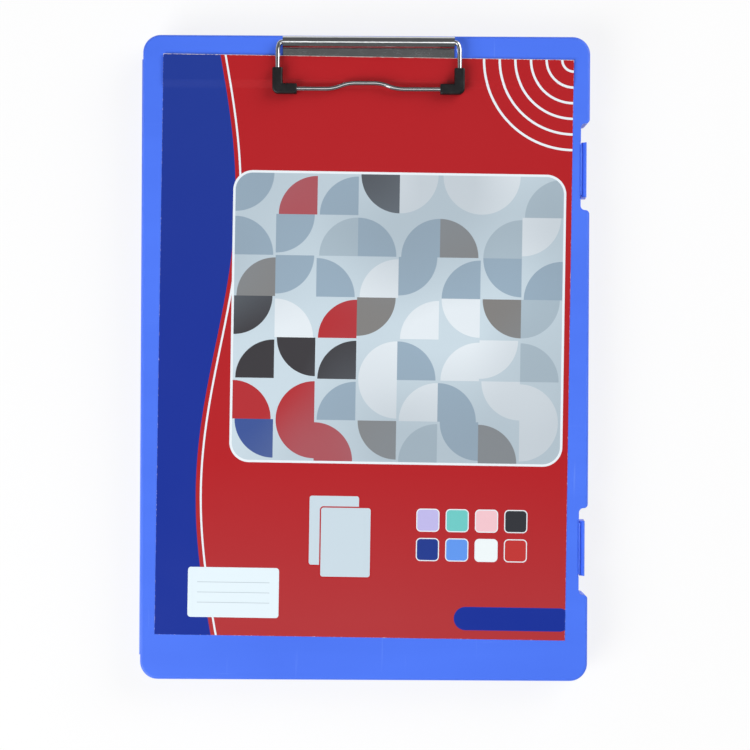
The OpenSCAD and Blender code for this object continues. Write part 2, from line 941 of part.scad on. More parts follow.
// The card lies on the clip's plate, slopes down in front of it and lies on the lid. Its bends
// stay along the plate's edge, and its outline is turned about the middle of its top edge.
module insert_card() {
    plate_top = lid_top + plate_t;
    slope_y = plate_front_y - card_slope;
    back_y = card_top_y + card_w;
    front_y = card_top_y - card_l - card_w;
    color(card_colour)
    intersection() {
        translate([clip_off, 0, 0])
            along_x(2 * card_l)
                polygon([
                    [back_y, plate_top],
                    [plate_front_y, plate_top],
                    [slope_y, lid_top],
                    [front_y, lid_top],
                    [front_y, lid_top + card_t],
                    [slope_y, lid_top + card_t],
                    [plate_front_y, plate_top + card_t],
                    [back_y, plate_top + card_t]
                ]);
        translate([clip_off, card_top_y, lid_top - over])
            rotate([0, 0, -card_turn])
                linear_extrude(plate_t + card_t + 2 * over)
                    translate([-card_w / 2, -card_l])
                        square([card_w, card_l]);
    }
}

tray_floor();
tray_walls();
tray_side();
tray_recess_upper();
tray_recess_lower();
tray_divider();
lid_panel();
lid_rim();
hinge_web();
latch_upper();
latch_lower();
latch_web_upper();
latch_web_lower();
clip_plate();
clip_bail();
clip_sleeve_left();
clip_sleeve_right();
rivet_left();
rivet_right();
washer_left();
washer_right();
insert_card();
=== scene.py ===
"""Looks of a storage clipboard box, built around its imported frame.

The box is a blue polypropylene tray with a hinged clipboard lid, two snap latches, a chrome wire
clip and a printed display card. Everything is in metres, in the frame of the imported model: X runs
from the hinge to the latches, Y towards the clip and Z up.
"""
from __future__ import annotations

import json
import logging
import math
from dataclasses import dataclass
from enum import Enum

import bpy
import numpy as np
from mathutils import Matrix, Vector


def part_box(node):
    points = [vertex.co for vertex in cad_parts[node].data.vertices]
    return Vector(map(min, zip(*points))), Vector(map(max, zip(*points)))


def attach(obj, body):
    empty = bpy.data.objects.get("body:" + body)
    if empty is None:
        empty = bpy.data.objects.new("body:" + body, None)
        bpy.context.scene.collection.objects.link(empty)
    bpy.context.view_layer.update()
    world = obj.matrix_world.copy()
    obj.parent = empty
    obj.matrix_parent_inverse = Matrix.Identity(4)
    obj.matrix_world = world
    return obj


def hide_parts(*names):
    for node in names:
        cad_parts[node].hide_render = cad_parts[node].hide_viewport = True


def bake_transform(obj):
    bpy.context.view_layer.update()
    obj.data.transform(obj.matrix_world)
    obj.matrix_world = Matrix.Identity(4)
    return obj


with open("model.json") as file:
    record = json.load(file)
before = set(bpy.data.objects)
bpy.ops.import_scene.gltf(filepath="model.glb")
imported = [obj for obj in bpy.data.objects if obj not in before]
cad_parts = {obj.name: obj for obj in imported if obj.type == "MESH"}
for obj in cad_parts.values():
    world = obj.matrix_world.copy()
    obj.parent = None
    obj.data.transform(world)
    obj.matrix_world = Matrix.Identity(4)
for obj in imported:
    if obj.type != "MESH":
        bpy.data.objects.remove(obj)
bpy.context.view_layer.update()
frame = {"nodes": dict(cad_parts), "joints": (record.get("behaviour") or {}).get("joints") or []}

LOG = logging.getLogger("clipboard_box")
MM = 0.001

Array = np.ndarray
Pair = tuple[float, float]
Triple = tuple[float, float, float]
Rgba = tuple[float, float, float, float]
Socket = bpy.types.NodeSocket
Material = bpy.types.Material
Piece = bpy.types.Object
Faces = list[list[int]]


def srgb(red: float, green: float, blue: float) -> Rgba:
    """Turns an 8-bit sRGB colour into the linear one that shaders take.

    Args:
        red, green, blue: Its parts, from 0 to 255.

    Returns:
        The linear colour with full alpha.
    """
    part = np.array([red, green, blue]) / 255
    linear = np.where(part <= 0.04045, part / 12.92, ((part + 0.055) / 1.055) ** 2.4)
    return (*(float(c) for c in linear), 1.0)


class Body(Enum):
    """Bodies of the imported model."""

    BASE = "base"
    LID = "lid"
    LATCH_UPPER = "latch_flap_upper"
    LATCH_LOWER = "latch_flap_lower"
    BAIL = "bail"


class Slot(Enum):
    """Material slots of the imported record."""

    SHELL = "shell"
    CHROME = "chrome"
    SLEEVE = "sleeve"
    CARD = "card"


# ---------------- node trees


class Nodes:
    """A node tree with short ways to add its nodes and join them."""

    def __init__(self, tree: bpy.types.NodeTree) -> None:
        """Takes a tree and empties it."""
        self.tree = tree
        tree.nodes.clear()

    def feed(self, target: Socket, value: object) -> None:
        """Fills a socket.

        Args:
            target: The socket.
            value: A socket to link, a plain value to write, or None to leave it alone.
        """
        if isinstance(value, Socket):
            self.tree.links.new(value, target)
        elif value is not None:
            target.default_value = value

    def node(self, kind: str, inputs: dict[str | int, object] | None = None,
             **settings: object) -> bpy.types.Node:
        """Adds a node.

        Args:
            kind: Blender's name of the node type.
            inputs: What goes into its inputs, by their name or number.
            settings: Properties to set on it.

        Returns:
            The new node.
        """
        made = self.tree.nodes.new(kind)
        for key, value in settings.items():
            setattr(made, key, value)
        for key, value in (inputs or {}).items():
            self.feed(made.inputs[key], value)
        return made

    def math(self, operation: str, *values: object, clamp: bool = False) -> Socket:
        """Adds a Math node.

        Args:
            operation: Blender's name of the operation.
            values: Sockets or numbers.
            clamp: Keeps the result between 0 and 1.

        Returns:
            The result.
        """
        inputs = dict(enumerate(values))
        return self.node("ShaderNodeMath", inputs, operation=operation, use_clamp=clamp).outputs[0]

    def mix(self, share: object, under: object, over: object) -> Socket:
        """Goes from one number, under, to another, over, by share."""
        return self.node("ShaderNodeMix", {0: share, 2: under, 3: over}).outputs[0]

    def blend(self, share: object, under: object, over: object) -> Socket:
        """Goes from one colour, under, to another, over, by share."""
        return self.node("ShaderNodeMix", {0: share, 6: under, 7: over}, data_type="RGBA").outputs[2]

    def split(self, vector: Socket) -> list[Socket]:
        """Gives the sockets of a vector's X, Y and Z."""
        return list(self.node("ShaderNodeSeparateXYZ", {0: vector}).outputs)

    def ranged(self, value: object, low: float, high: float, out_low: float = 0.0,
               out_high: float = 1.0, kind: str = "LINEAR") -> Socket:
        """Maps a value from one range to another and holds it at the ends.

        Args:
            value: Socket or number.
            low: Start of the range.
            high: End of the range.
            out_low: Result at the start.
            out_high: Result at the end.
            kind: Blender's name of the way between them.

        Returns:
            The result.
        """
        inputs = dict(enumerate((value, low, high, out_low, out_high)))
        return self.node("ShaderNodeMapRange", inputs, interpolation_type=kind).outputs[0]


class Graph(Nodes):
    """One material's nodes, with a Principled shader at their end."""

    def __init__(self, name: str) -> None:
        """Makes a material.

        Args:
            name: The material's name.
        """
        self.material = bpy.data.materials.new(name)
        self.material.use_nodes = True
        super().__init__(self.material.node_tree)
        self.shader = self.node("ShaderNodeBsdfPrincipled")
        self.output = self.node("ShaderNodeOutputMaterial", {"Surface": self.shader.outputs["BSDF"]})

    def vector(self, operation: str, *values: object) -> Socket:
        """Adds a Vector Math node.

        Args:
            operation: Blender's name of the operation.
            values: Sockets or triples.

        Returns:
            The result.
        """
        made = self.node("ShaderNodeVectorMath", dict(enumerate(values)), operation=operation)
        return made.outputs["Value" if operation in ("LENGTH", "DISTANCE") else "Vector"]

    def place(self) -> Socket:
        """Gives the object coordinates' socket."""
        return self.node("ShaderNodeTexCoord").outputs["Object"]

    def noise(self, scale: float, detail: float = 2.0, stretch: Triple = (1, 1, 1)) -> Socket:
        """Adds noise on the object coordinates.

        Args:
            scale: Waves per metre.
            detail: Finer layers.
            stretch: Factor on each axis.

        Returns:
            The noise's socket, around 0.5.
        """
        mapping = self.node("ShaderNodeMapping", {"Vector": self.place(), "Scale": stretch})
        inputs = {"Vector": mapping.outputs["Vector"], "Scale": scale, "Detail": detail}
        return self.node("ShaderNodeTexNoise", inputs).outputs["Fac"]

    def bump(self, height: Socket, depth: float, strength: float = 0.5,
             under: Socket | None = None) -> Socket:
        """Adds a Bump node.

        Args:
            height: Height from 0 to 1.
            depth: Depth of that height in metres.
            strength: Share of the effect.
            under: A coarser bump's normal to build on.

        Returns:
            The normal.
        """
        inputs = {"Strength": strength, "Distance": depth, "Height": height, "Normal": under}
        return self.node("ShaderNodeBump", inputs).outputs["Normal"]

    def set(self, **values: object) -> None:
        """Sets the shader's inputs, where a name's underscores stand for spaces."""
        for key, value in values.items():
            self.feed(self.shader.inputs[key.replace("_", " ")], value)


# ---------------- finishes


@dataclass(frozen=True)
class Polypropylene:
    """Moulded blue polypropylene: satin, finely grained, a little uneven in colour."""

    name: str = "polypropylene"
    colour: Rgba = srgb(76, 121, 247)
    deep: Rgba = srgb(69, 113, 238)
    scuffed: Rgba = srgb(112, 150, 250)
    grain_per_m: float = 2600
    grain_depth: float = 0.02 * MM
    wave_per_m: float = 22
    wave_depth: float = 0.4 * MM
    cloud_per_m: float = 9
    streak_per_m: float = 60
    streak_share: float = 0.25
    scuff_per_m: float = 520
    patch_per_m: float = 26
    scuff_share: float = 0.4
    scuff_rough: float = 0.4
    grain_rough: float = 0.14
    rough: Pair = (0.36, 0.30)
    ior: float = 1.49
    specular: float = 0.35

    def scuffs(self, g: Graph) -> Socket:
        """Hairline scuffs in patches: two sets of noise, drawn out along X and along Y.

        Args:
            g: The material's graph.

        Returns:
            How much of the scuffed skin shows, 0 to 1.
        """
        ways = ((0.05, 1, 1), (1, 0.04, 1))
        lines = [g.ranged(g.noise(self.scuff_per_m, 1, way), 0.7, 0.78) for way in ways]
        patches = g.ranged(g.noise(self.patch_per_m, 1), 0.5, 0.68)
        marks = g.math("MULTIPLY", g.math("MAXIMUM", *lines), patches)
        return g.math("MULTIPLY", marks, self.scuff_share)

    def make(self) -> Material:
        """Builds the material.

        Returns:
            The material.
        """
        g = Graph(self.name)
        cloud = g.ranged(g.noise(self.cloud_per_m, 3), 0.35, 0.65)
        streak = g.ranged(g.noise(self.streak_per_m, 2, (0.12, 1, 1)), 0.4, 0.62)
        tone = g.mix(self.streak_share, cloud, streak)
        grain = g.noise(self.grain_per_m, 3)
        wave = g.bump(g.noise(self.wave_per_m, 2), self.wave_depth, 0.25)
        scuffs = self.scuffs(g)
        skin = g.math("MULTIPLY_ADD", grain, self.grain_rough, g.ranged(cloud, 0, 1, *self.rough))
        g.set(
            Base_Color=g.blend(scuffs, g.blend(tone, self.deep, self.colour), self.scuffed),
            Roughness=g.math("MULTIPLY_ADD", scuffs, self.scuff_rough, skin),
            IOR=self.ior,
            Specular_IOR_Level=self.specular,
            Normal=g.bump(grain, self.grain_depth, under=wave),
        )
        return g.material


@dataclass(frozen=True)
class Chrome:
    """Bright chrome plate with the faint draw lines and haze of a stamped or drawn steel."""

    colour: Rgba = srgb(198, 200, 202)
    line_per_m: float = 900
    line_depth: float = 0.006 * MM
    dent_per_m: float = 420
    dent_depth: float = 0.1 * MM
    haze_per_m: float = 140
    rough: Pair = (0.06, 0.17)

    def make(self) -> Material:
        """Builds the material.

        Returns:
            The material.
        """
        g = Graph("chrome")
        lines = g.noise(self.line_per_m, 2, (0.02, 1, 1))
        dents = g.bump(g.noise(self.dent_per_m, 2, (0.4, 1, 1)), self.dent_depth, 0.45)
        g.set(
            Base_Color=self.colour,
            Metallic=1.0,
            Roughness=g.ranged(g.noise(self.haze_per_m, 3), 0.35, 0.7, *self.rough),
            Normal=g.bump(lines, self.line_depth, 0.4, dents),
        )
        return g.material


@dataclass(frozen=True)
class Grained:
    """A plain finish: two near tones in clouds, under one fine grain that roughens and dents it."""

    name: str
    tones: tuple[Rgba, Rgba]
    cloud_per_m: float
    cloud: Pair
    grain_per_m: float
    rough: Pair
    grain_depth: float = 0.02 * MM
    details: Pair = (2, 3)
    stretch: Triple = (1, 1, 1)
    metallic: float = 0.0
    specular: float = 0.5

    def make(self) -> Material:
        """Builds the material.

        Returns:
            The material.
        """
        g = Graph(self.name)
        cloud = g.ranged(g.noise(self.cloud_per_m, self.details[0], self.stretch), *self.cloud)
        grain = g.noise(self.grain_per_m, self.details[1], self.stretch)
        g.set(
            Base_Color=g.blend(cloud, *self.tones),
            Metallic=self.metallic,
            Roughness=g.ranged(grain, 0.3, 0.7, *self.rough),
            Specular_IOR_Level=self.specular,
            Normal=g.bump(grain, self.grain_depth),
        )
        return g.material


ZINC = Grained("zinc_plate", (srgb(160, 163, 168), srgb(178, 181, 184)), 500, (0.4, 0.6), 1800,
               (0.28, 0.45), grain_depth=0.01 * MM, metallic=1.0)
BLACK = Grained("black_sleeve", (srgb(15, 16, 18), srgb(27, 29, 31)), 260, (0.52, 0.7), 1500,
                (0.34, 0.5), specular=0.35)
BOARD = Grained("white_board", (srgb(218, 220, 217), srgb(232, 234, 232)), 2200, (0.35, 0.7), 2200,
                (0.85, 0.85), details=(4, 4), stretch=(1, 0.3, 1))


class Pattern:
    """Flat shapes painted by their distance functions, in millimetres on a turned sheet."""

    EDGE = 0.12

    def __init__(self, name: str, centre: Triple, turn: float) -> None:
        """Makes the sheet's material and sets the sheet's own axes.

        Args:
            name: The material's name.
            centre: Middle of the sheet in metres.
            turn: Angle of the sheet about Z in radians.
        """
        self.g = g = Graph(name)
        self.colour: object = None
        inputs = {"Vector": g.place(), "Location": centre, "Rotation": (0, 0, turn),
                  "Scale": (MM, MM, MM)}
        mapping = g.node("ShaderNodeMapping", inputs, vector_type="TEXTURE")
        self.u, self.v, _ = g.split(mapping.outputs["Vector"])
        self.here = self.point(self.u, self.v)

    def point(self, u: object, v: object) -> Socket:
        """Joins two coordinates into a vector socket."""
        return self.g.node("ShaderNodeCombineXYZ", {0: u, 1: v}).outputs[0]

    def box(self, centre: Pair, half: Pair, radius: float) -> Socket:
        """Distance to a rectangle with round corners, negative inside.

        Args:
            centre: Its middle.
            half: Half its width and height.
            radius: Corner radius.

        Returns:
            The distance.
        """
        g = self.g
        off = g.vector("ABSOLUTE", g.vector("SUBTRACT", self.here, (*centre, 0)))
        past = g.vector("SUBTRACT", off, (half[0] - radius, half[1] - radius, 0))
        outside = g.vector("LENGTH", g.vector("MAXIMUM", past, (0, 0, 0)))
        inside = g.math("MINIMUM", g.math("MAXIMUM", *g.split(past)[:2]), 0)
        return g.math("SUBTRACT", g.math("ADD", outside, inside), radius)

    def disc(self, centre: Pair, radius: float) -> Socket:
        """Distance to a disc, negative inside.

        Args:
            centre: Its middle.
            radius: Its radius.

        Returns:
            The distance.
        """
        away = self.g.vector("DISTANCE", self.here, (*centre, 0))
        return self.g.math("SUBTRACT", away, radius)

    def ink(self, distance: Socket, grow: float = 0.0) -> Socket:
        """Turns a distance into cover: 1 inside, 0 outside, with a crisp soft edge.

        Args:
            distance: A shape's distance.
            grow: How far outside the shape that edge lies.

        Returns:
            The cover.
        """
        return self.g.ranged(distance, grow - self.EDGE / 2, grow + self.EDGE / 2, 1, 0)

    def cover(self, share: Socket, shade: object) -> None:
        """Lays a colour over what is painted so far, by share."""
        self.colour = self.g.blend(share, self.colour, shade)

    def paint(self, distance: Socket, shade: object, grow: float = 0.0) -> None:
        """Fills a shape, grown by a margin, with a colour."""
        self.cover(self.ink(distance, grow), shade)


@dataclass(frozen=True)
class LabelPaper:
    """Satin white label with faint writing rules, in millimetres about the label's middle."""

    sheet: Pattern
    colour: Rgba = srgb(226, 240, 247)
    rule: Rgba = srgb(176, 190, 200)
    rule_pitch: float = 5.2
    rule_w: float = 0.28
    half: Pair = (18.5, 9.2)
    fibre_per_m: float = 2400
    fibre_depth: float = 0.008 * MM
    rough: Pair = (0.42, 0.52)
    specular: float = 0.25

    def make(self) -> Material:
        """Builds the material.

        Returns:
            The material.
        """
        p, g = self.sheet, self.sheet.g
        p.colour = self.colour
        row = g.math("PINGPONG", p.v, self.rule_pitch / 2)
        inside = p.ink(p.box((0, 0), self.half, 0.1))
        p.cover(g.math("MULTIPLY", p.ink(row, self.rule_w / 2), inside), self.rule)
        fibre = g.noise(self.fibre_per_m, 3)
        g.set(
            Base_Color=p.colour,
            Roughness=g.ranged(fibre, 0.3, 0.7, *self.rough),
            Specular_IOR_Level=self.specular,
            Normal=g.bump(fibre, self.fibre_depth, 0.4),
        )
        return g.material


@dataclass(frozen=True)
class CardPrint:
    """Generic print of the display card, in millimetres about the card's middle."""

    sheet: Pattern
    red: Rgba = srgb(178, 26, 33)
    red_low: Rgba = srgb(176, 50, 54)
    blue: Rgba = srgb(17, 46, 150)
    blue_top: Rgba = srgb(30, 56, 148)
    pale: Rgba = srgb(200, 216, 226)
    white: Rgba = srgb(232, 240, 246)
    drift: Rgba = srgb(132, 146, 158)
    # board colour, for chipped print and for the painted highlight along the top edge
    bare_board_and_highlight: Rgba = srgb(226, 216, 212)
    half: Pair = (105.0, 148.5)
    wave_h: float = 9
    wave_per_mm: float = 0.021
    wave_at: float = -76
    line_off: float = 2.6
    line_w: float = 1.0
    tile: float = 21.0
    tile_fill: float = 0.94
    tile_turned: float = 0.5  # share of the tiles that are turned over, each way
    tile_lean: float = 0.28  # how far the left columns lean to the later shades
    tiles_centre: Pair = (17.0, 15.0)
    tiles_half: Pair = (84.0, 73.5)
    tiles_r: float = 9
    tiles_frame: float = 1.2
    drift_per_m: float = 11
    drift_share: float = 0.42
    tile_stops: tuple[tuple[float, Rgba], ...] = (
        (0.0, srgb(172, 190, 202)), (0.24, srgb(226, 234, 240)), (0.44, srgb(128, 126, 124)),
        (0.58, srgb(150, 172, 190)), (0.74, srgb(58, 56, 60)), (0.84, srgb(178, 44, 50)),
        (0.92, srgb(60, 84, 150)),
    )
    chip_at: Pair = (34.0, -88.0)
    chip_pitch: float = 15.0
    chip_half: float = 5.4
    chip_frame: float = 0.5
    chips: tuple[Rgba, ...] = (
        srgb(190, 184, 232), srgb(110, 200, 196), srgb(240, 196, 204), srgb(48, 50, 56),
        srgb(30, 56, 140), srgb(96, 150, 236), srgb(236, 244, 246), srgb(190, 52, 50),
    )
    ring_r: float = 14
    ring_pitch: float = 8.0
    ring_w: float = 1.2
    rings_reach: float = 34.0
    sheets_at: tuple[Pair, Pair] = ((-14.0, -94.0), (-8.0, -100.0))
    sheet_half: Pair = (13.0, 18.0)
    sheet_r: float = 1.6
    sheet_line: float = 0.7
    block_at: Pair = (78.0, -138.0)
    block_half: Pair = (30.0, 6.0)
    wear_per_m: float = 900
    wear: Pair = (-0.16, 0.14)
    # width of the painted highlight along the top edge, in millimetres
    top_highlight_w: float = 0.2
    coat_per_m: float = 26
    coat_depth: float = 0.4 * MM
    rough: Pair = (0.34, 0.44)
    ior: float = 1.46
    specular: float = 0.25

    def ground(self) -> None:
        """Paints the red deeper to the foot, and a blue field with a waved edge and a pale line."""
        p, g = self.sheet, self.sheet.g
        p.colour = g.blend(g.ranged(p.v, -60, -140), self.red, self.red_low)
        deep = g.blend(g.ranged(p.v, 0, 148), self.blue, self.blue_top)
        phase = g.math("MULTIPLY", p.v, self.wave_per_mm)
        wave = g.math("MULTIPLY_ADD", g.math("SINE", phase), self.wave_h, self.wave_at)
        edge = g.math("SUBTRACT", p.u, wave)
        p.paint(edge, deep)
        beside = g.math("ABSOLUTE", g.math("SUBTRACT", edge, self.line_off))
        p.paint(beside, self.white, self.line_w / 2)

    def mosaic(self) -> None:
        """Paints a panel of square tiles, each with a quarter disc that opens from a corner."""
        p, g = self.sheet, self.sheet.g
        lows = (self.tiles_centre[i] - self.tiles_half[i] for i in (0, 1))
        along = [
            g.math("DIVIDE", g.math("SUBTRACT", place, low), self.tile)
            for place, low in zip((p.u, p.v), lows)
        ]
        steps = [g.math("FLOOR", a) for a in along]
        chance = g.node("ShaderNodeTexWhiteNoise", {"Vector": p.point(*steps)}, noise_dimensions="2D")
        picks = g.node("ShaderNodeSeparateColor", {0: chance.outputs["Color"]}).outputs
        within = []
        for a, pick in zip(along, picks):
            part = g.math("FRACT", a)
            turned = g.math("GREATER_THAN", pick, self.tile_turned)
            within.append(g.mix(turned, part, g.math("SUBTRACT", 1.0, part)))
        away = g.vector("LENGTH", p.point(*within))
        quarter = g.math("MULTIPLY", g.math("SUBTRACT", away, self.tile_fill), self.tile)
        leftwards = g.ranged(steps[0], 1, 6, self.tile_lean, 0.0)
        chosen = g.math("MULTIPLY_ADD", picks[2], 1 - self.tile_lean, leftwards)
        ramp = g.node("ShaderNodeValToRGB", {0: chosen})
        ramp.color_ramp.interpolation = "CONSTANT"
        while len(ramp.color_ramp.elements) < len(self.tile_stops):
            ramp.color_ramp.elements.new(1.0)
        for element, (position, shade) in zip(ramp.color_ramp.elements, self.tile_stops):
            element.position = position
            element.color = shade
        tiles = g.blend(p.ink(quarter), self.pale, ramp.outputs["Color"])
        drift = g.ranged(g.noise(self.drift_per_m, 1), 0.38, 0.66, 0.0, self.drift_share)
        panel = p.box(self.tiles_centre, self.tiles_half, self.tiles_r)
        p.paint(panel, self.white, self.tiles_frame)
        p.paint(panel, g.blend(drift, tiles, self.drift))

    def swatches(self) -> None:
        """Paints two rows of four round-cornered colour chips."""
        p = self.sheet
        for i, chip in enumerate(self.chips):
            row, column = divmod(i, len(self.chips) // 2)
            u, v = self.chip_at[0] + self.chip_pitch * column, self.chip_at[1] - self.chip_pitch * row
            shape = p.box((u, v), (self.chip_half, self.chip_half), self.chip_half / 3)
            p.paint(shape, self.white, self.chip_frame)
            p.paint(shape, chip)

    def ornaments(self) -> None:
        """Paints rings in the upper right corner, two plain sheets and a blue block at the foot."""
        p, g = self.sheet, self.sheet.g
        corner = p.disc(self.half, self.ring_r)
        rings = g.math("PINGPONG", corner, self.ring_pitch / 2)
        near = p.ink(corner, self.rings_reach)
        p.cover(g.math("MULTIPLY", p.ink(rings, self.ring_w / 2), near), self.white)
        for middle in self.sheets_at:
            sheet = p.box(middle, self.sheet_half, self.sheet_r)
            p.paint(sheet, self.pale)
            p.paint(g.math("ABSOLUTE", sheet), self.red, self.sheet_line / 2)
        p.paint(p.box(self.block_at, self.block_half, self.block_half[1]), self.blue)

    def worn_edge_and_top_highlight(self) -> None:
        """Bares the board along the cut, where the print has chipped, and along the top edge paints a
        pale strip of board colour as a painted highlight.
        """
        p, g = self.sheet, self.sheet.g
        inwards = g.math("MULTIPLY", p.box((0, 0), self.half, 0.05), -1.0)
        chip = g.ranged(g.noise(self.wear_per_m, 3), 0.3, 0.75, *self.wear)
        # painted highlight: a pale strip along the top edge, for the light on the cut edge
        top_highlight = g.ranged(p.v, self.half[1] - 2.0, self.half[1] - 0.5, 0.0, self.top_highlight_w)
        p.paint(g.math("SUBTRACT", inwards, g.math("ADD", chip, top_highlight)), self.bare_board_and_highlight)

    def make(self) -> Material:
        """Builds the material.

        Returns:
            The material.
        """
        g = self.sheet.g
        for layer in (self.ground, self.ornaments, self.mosaic, self.swatches, self.worn_edge_and_top_highlight):
            layer()
        coat = g.noise(self.coat_per_m, 2)
        g.set(
            Base_Color=self.sheet.colour,
            Roughness=g.ranged(coat, 0.3, 0.7, *self.rough),
            IOR=self.ior,
            Specular_IOR_Level=self.specular,
            Normal=g.bump(coat, self.coat_depth, 0.3),
        )
        return g.material


# ---------------- meshes


def joined(*parts: object) -> Array:
    """Joins coordinates, of which some may be single numbers, into one row a point."""
    return np.stack(np.broadcast_arrays(*parts), -1)


def grid_faces(rows: int, columns: int, wrap_rows: bool, wrap_columns: bool) -> Array:
    """Lists the quads of a grid of vertices that are numbered row by row.

    Args:
        rows: Number of rows.
        columns: Number of vertices in a row.
        wrap_rows: Joins the last row to the first.
        wrap_columns: Joins the last vertex of a row to the first.

    Returns:
        An array of four vertex numbers for each quad.
    """
    row = np.arange(rows if wrap_rows else rows - 1)[:, None]
    column = np.arange(columns if wrap_columns else columns - 1)[None, :]
    next_row, next_column = (row + 1) % rows, (column + 1) % columns
    corners = joined(
        row * columns + column,
        next_row * columns + column,
        next_row * columns + next_column,
        row * columns + next_column,
    )
    return corners.reshape(-1, 4)


def tube_faces(rings: int, sides: int) -> Faces:
    """Lists the faces of a tube with closed ends, whose vertices are numbered ring by ring.

    Args:
        rings: Number of rings.
        sides: Number of vertices in a ring.

    Returns:
        The vertex numbers of each face.
    """
    count = rings * sides
    ends = [list(range(sides)), list(range(count - 1, count - sides - 1, -1))]
    return grid_faces(rings, sides, False, True).tolist() + ends


def make_piece(name: str, vertices: Array, faces: Faces, materials: list[Material],
               slots: Array | None = None, smooth: bool = True) -> Piece:
    """Makes a mesh object at the origin.

    Args:
        name: The piece's name.
        vertices: Points in metres, one row each.
        faces: Vertex numbers of each face.
        materials: The piece's materials.
        slots: Material number of each face.
        smooth: Shades the faces smooth.

    Returns:
        The new object.
    """
    mesh = bpy.data.meshes.new(name)
    mesh.from_pydata(vertices.reshape(-1, 3), [], faces)
    mesh.polygons.foreach_set("use_smooth", np.full(len(mesh.polygons), smooth))
    if slots is not None:
        mesh.polygons.foreach_set("material_index", np.asarray(slots, np.int32))
    for material in materials:
        mesh.materials.append(material)
    mesh.update()
    piece = bpy.data.objects.new(name, mesh)
    bpy.context.scene.collection.objects.link(piece)
    LOG.info("built %s", name)
    return piece


def arc(centre: Pair, radius: float, start: float, end: float, count: int) -> Array:
    """Points on a circle: the centre plus the radius times the cosine and sine of even angles.

    Args:
        centre: Middle of the circle.
        radius: Its radius.
        start: First angle in degrees.
        end: Last angle in degrees.
        count: Number of points.

    Returns:
        An array of the points.
    """
    angle = np.radians(np.linspace(start, end, count))
    return np.array(centre) + radius * joined(np.cos(angle), np.sin(angle))


def unit(rows: Array) -> Array:
    """Scales each row to length 1: the row over the root of its squares' sum."""
    return rows / np.linalg.norm(rows, axis=1, keepdims=True)


def extruded(section: Array, length: float, bevel: float) -> tuple[Array, Faces]:
    """Carries a closed (X, Z) section along Y, centred, with its two ends closed.

    Each end has one more ring, which is the section pulled inwards by the bevel.

    Args:
        section: Closed outline, counterclockwise, one row a point.
        length: Length along Y.
        bevel: Size of the softened edge.

    Returns:
        The vertices and the faces.
    """
    ahead = np.roll(section, -1, 0) - section
    behind = section - np.roll(section, 1, 0)
    way = unit(unit(ahead) + unit(behind))
    inwards = joined(-way[:, 1], way[:, 0])
    places = (-length / 2, -length / 2 + bevel, length / 2 - bevel, length / 2)
    rings = []
    for y, pull in zip(places, (bevel, 0.0, 0.0, bevel)):
        ring = section + inwards * pull
        rings.append(joined(ring[:, 0], y, ring[:, 1]))
    return np.concatenate(rings), tube_faces(len(rings), len(section))


# ---------------- the object

FOLD_R = 0.15 * MM
WEB_T = 0.4 * MM
WEB_BEVEL = 0.05 * MM


def joint_place(body: Body) -> Triple:
    """Gives the place of the joint that moves a body."""
    return next(tuple(j["pos_m"]) for j in frame["joints"] if j["child"] == body.value)


class Crisp:
    """Merges CAD nodes' loose triangles and shades them smooth up to an angle."""

    def __init__(self, limit_deg: float = 32.0, reach: float = 2e-6) -> None:
        """Builds the node group.

        Args:
            limit_deg: Edges that turn more than this stay sharp.
            reach: Distance under which vertices are merged, in metres.
        """
        self.tree = bpy.data.node_groups.new("crisp", "GeometryNodeTree")
        for way in ("INPUT", "OUTPUT"):
            self.tree.interface.new_socket("Geometry", in_out=way, socket_type="NodeSocketGeometry")
        g = Nodes(self.tree)
        angle = g.node("GeometryNodeInputMeshEdgeAngle").outputs["Unsigned Angle"]
        test = g.node("FunctionNodeCompare", {0: angle, 1: math.radians(limit_deg)},
                      operation="GREATER_THAN")
        sharp = {"Shade Smooth": False, "Selection": test.outputs["Result"]}
        chain = (
            g.node("NodeGroupInput"),
            g.node("GeometryNodeMergeByDistance", {"Distance": reach}),
            g.node("GeometryNodeSetShadeSmooth", domain="FACE"),
            g.node("GeometryNodeSetShadeSmooth", sharp, domain="EDGE"),
            g.node("NodeGroupOutput"),
        )
        for before, after in zip(chain, chain[1:]):
            g.feed(after.inputs[0], before.outputs[0])

    def dress(self, material: Material, *starts: str) -> None:
        """Gives CAD nodes the modifier and a material.

        Args:
            material: Their new material.
            starts: What the nodes' names start with.
        """
        for node in (name for name in frame["nodes"] if name.startswith(starts)):
            piece = frame["nodes"][node]
            piece.modifiers.new("crisp", "NODES").node_group = self.tree
            level = piece.modifiers.new("level", "WEIGHTED_NORMAL")
            level.mode, level.weight, level.keep_sharp = "FACE_AREA", 50, True
            for place in piece.material_slots:
                place.link = "OBJECT"
                place.material = material
            LOG.info("dressed %s", node)


@dataclass
class Shell:
    """Tray, lid and their living hinge."""

    material: Material
    fold: Material
    crisp: Crisp
    leg: float = 0.4 * MM
    steps: int = 17

    def build(self) -> None:
        """Makes the hinge web: a half ring between two short legs, carried along Y."""
        low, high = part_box("hinge_web")
        axis_x, axis_z = high.x - self.leg, (low.z + high.z) / 2
        outer_r = FOLD_R + WEB_T
        section = np.concatenate([
            arc((axis_x, axis_z), outer_r, 90, 270, self.steps),
            [[high.x, axis_z - outer_r], [high.x, axis_z - FOLD_R]],
            arc((axis_x, axis_z), FOLD_R, 270, 90, self.steps),
            [[high.x, axis_z + FOLD_R], [high.x, axis_z + outer_r]],
        ])
        vertices, faces = extruded(section, high.y - low.y, WEB_BEVEL)
        web = make_piece("hinge_fold", vertices, faces, [self.fold])
        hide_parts("hinge_web")
        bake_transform(web)

    def dress(self) -> None:
        """Dresses the tray and the lid."""
        self.crisp.dress(self.material, "tray_", "lid_")


